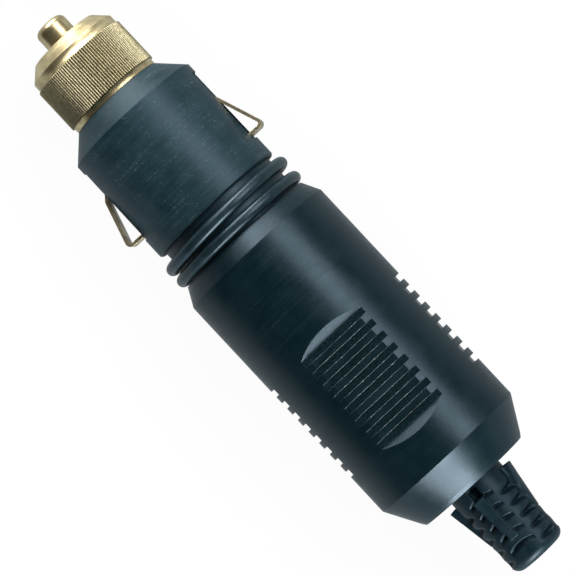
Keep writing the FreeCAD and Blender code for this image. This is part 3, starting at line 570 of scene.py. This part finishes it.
boot_path = rounded_path([
    (BOOT_FRONT, BOOT_BORE, 0), (BOOT_FRONT, FLANGE_RADIUS, FLANGE_ROUND),
    (FLANGE_REAR, FLANGE_RADIUS, FLANGE_ROUND), (FLANGE_REAR, BOOT_RADIUS, 0),
    (BOOT_TAIL, BOOT_RADIUS, TAIL_ROUND), (BOOT_TAIL, BOOT_BORE, BORE_ROUND)], BOOT_STEPS)
boot_path = with_rows(boot_path, BOOT_RADIUS, SKIN_FRONT, BOOT_TAIL + TAIL_ROUND + 0.25, SKIN_ROWS)
boot = turned_skin("strain_relief_boot", boot_path, BOOT_COLUMNS, boot_skin)
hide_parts("cord_boot")
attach(boot, "housing")
BOOT_DARK = (0.003, 0.012, 0.017)
BOOT_LIGHT = (0.006, 0.018, 0.024)
boot.data.materials.append(
    matt_finish("boot_rubber", BOOT_DARK, BOOT_LIGHT, 0.44, 7.0, 0.012 * MM, SHEEN, 0.32))

# Floor: a pale sheet under the plug, white to the camera with the plug's shadow faintly on it. It is
# darker where the plug reflects it, as black cards beside a real set-up would make it.
FLOOR_DROP, FLOOR_GAP = 12 * MM, 0.02 * MM
FLOOR_HALF = 1.5
FLOOR_CORNERS = ((-1, -1), (1, -1), (1, 1), (-1, 1))
CAMERA_SHARE = 0.93
CARD_COLOUR, CARD_STRENGTH = (0.90, 0.97, 1.0), 0.52
floor_mesh = bpy.data.meshes.new("floor")
floor_points = [(x * FLOOR_HALF, y * FLOOR_HALF, -FLOOR_DROP - FLOOR_GAP) for x, y in FLOOR_CORNERS]
floor_mesh.from_pydata(floor_points, [], [(0, 1, 2, 3)])
floor = bpy.data.objects.new("floor", floor_mesh)
bpy.context.scene.collection.objects.link(floor)


def floor_paper():
    """White paper that glows by itself to the camera, and less in the plug's reflections."""
    material, tree, shader = finish("floor_paper", (0.86, 0.87, 0.88), 0.9)
    rays = tree.nodes.new("ShaderNodeLightPath").outputs
    reflected = math_node(tree, "MAXIMUM", rays["Is Glossy Ray"], rays["Is Transmission Ray"])
    seen = math_node(tree, "MAXIMUM", product(tree, rays["Is Camera Ray"], CAMERA_SHARE), reflected)
    glow = tree.nodes.new("ShaderNodeEmission")
    plug_in(tree, glow.inputs["Color"], blended(tree, reflected, PLAIN, CARD_COLOUR))
    plug_in(tree, glow.inputs["Strength"], ranged(tree, reflected, 0.0, 1.0, 1.0, CARD_STRENGTH))
    both = tree.nodes.new("ShaderNodeMixShader")
    for socket, value in zip(both.inputs, (seen, shader.outputs[0], glow.outputs[0])):
        plug_in(tree, socket, value)
    plug_in(tree, tree.nodes["Material Output"].inputs["Surface"], both.outputs[0])
    return material


floor_mesh.materials.append(floor_paper())

# Room and lamps: a dark room that is white only to the camera, with one large soft lamp high over the
# -Y side and a smaller one beyond each end.
ROOM_GLOW = 0.06
PLUG_MIDDLE = -17 * MM
world = bpy.data.worlds.new("room")
bpy.context.scene.world = world
world.use_nodes = True
room = world.node_tree
background = room.nodes["Background"]
to_camera = room.nodes.new("ShaderNodeLightPath").outputs["Is Camera Ray"]
plug_in(room, background.inputs["Color"], (0.95, 0.98, 1.0, 1))
plug_in(room, background.inputs["Strength"], ranged(room, to_camera, 0.0, 1.0, ROOM_GLOW, 1.0))


def soft_lamp(name, toward, distance, width, length, watts):
    """An area lamp that looks at the plug's middle from a direction, its length along X where it can be."""
    lamp = bpy.data.lights.new(name, "AREA")
    lamp.shape = "RECTANGLE"
    lamp.size = length
    lamp.size_y = width
    lamp.energy = watts
    holder = bpy.data.objects.new(name, lamp)
    back = Vector(toward).normalized()
    side = Vector((1, 0, 0)) - back * back.x
    if side.length < 0.3:
        side = Vector((0, 1, 0)) - back * back.y
    side.normalize()
    place = Matrix((side, back.cross(side), back)).transposed().to_4x4()
    place.translation = Vector((PLUG_MIDDLE, 0, 0)) + back * distance
    holder.matrix_world = place
    bpy.context.scene.collection.objects.link(holder)


soft_lamp("key_lamp", (0.10, -0.665, 0.74), 0.55, 0.27, 0.50, 2.3)
soft_lamp("tail_lamp", (-0.93, 0.20, 0.29), 0.50, 0.36, 0.15, 4.3)
soft_lamp("tip_lamp", (0.90, -0.20, 0.25), 0.50, 0.36, 0.22, 3.3)

# Camera: over the grip, a little toward the tail and the -Y side, with the tip at the picture's top
# left. Its place was fitted to the photo, where a millimetre of the plug takes up 7.28 pixels.
PHOTO_SCALE = 7.28
OFF_AXIS_PIXELS = -4.15
VIEW_DISTANCE = 0.5
VIEW_FOOT = -33.3 * MM
VIEW_ROLL = math.radians(3.3)
AIM_ALONG, AIM_ASIDE = -16.5 * MM, OFF_AXIS_PIXELS / PHOTO_SCALE * MM
AXIS_TURN = math.radians(47.0)
SENSOR_WIDTH, FOCAL_LENGTH = 36, 227
toward = Vector((0, -math.sin(VIEW_ROLL), math.cos(VIEW_ROLL)))
aside = Vector((0, -math.cos(VIEW_ROLL), -math.sin(VIEW_ROLL)))
eye = Vector((VIEW_FOOT, 0, 0)) + toward * VIEW_DISTANCE
aim = Vector((AIM_ALONG, 0, 0)) + aside * AIM_ASIDE
back = (eye - aim).normalized()
along = (Vector((1, 0, 0)) - back * back.x).normalized()
right_side = along.cross(back)
camera_right = -math.cos(AXIS_TURN) * along + math.sin(AXIS_TURN) * right_side
camera_up = back.cross(camera_right)
lens = bpy.data.cameras.new("camera")
lens.sensor_width = SENSOR_WIDTH
lens.lens = FOCAL_LENGTH
camera = bpy.data.objects.new("camera", lens)
camera.matrix_world = Matrix((camera_right, camera_up, back)).transposed().to_4x4()
camera.matrix_world.translation = eye
bpy.context.scene.collection.objects.link(camera)
bpy.context.scene.camera = camera
bpy.context.scene.view_settings.view_transform = "Standard"

bpy.context.view_layer.update()
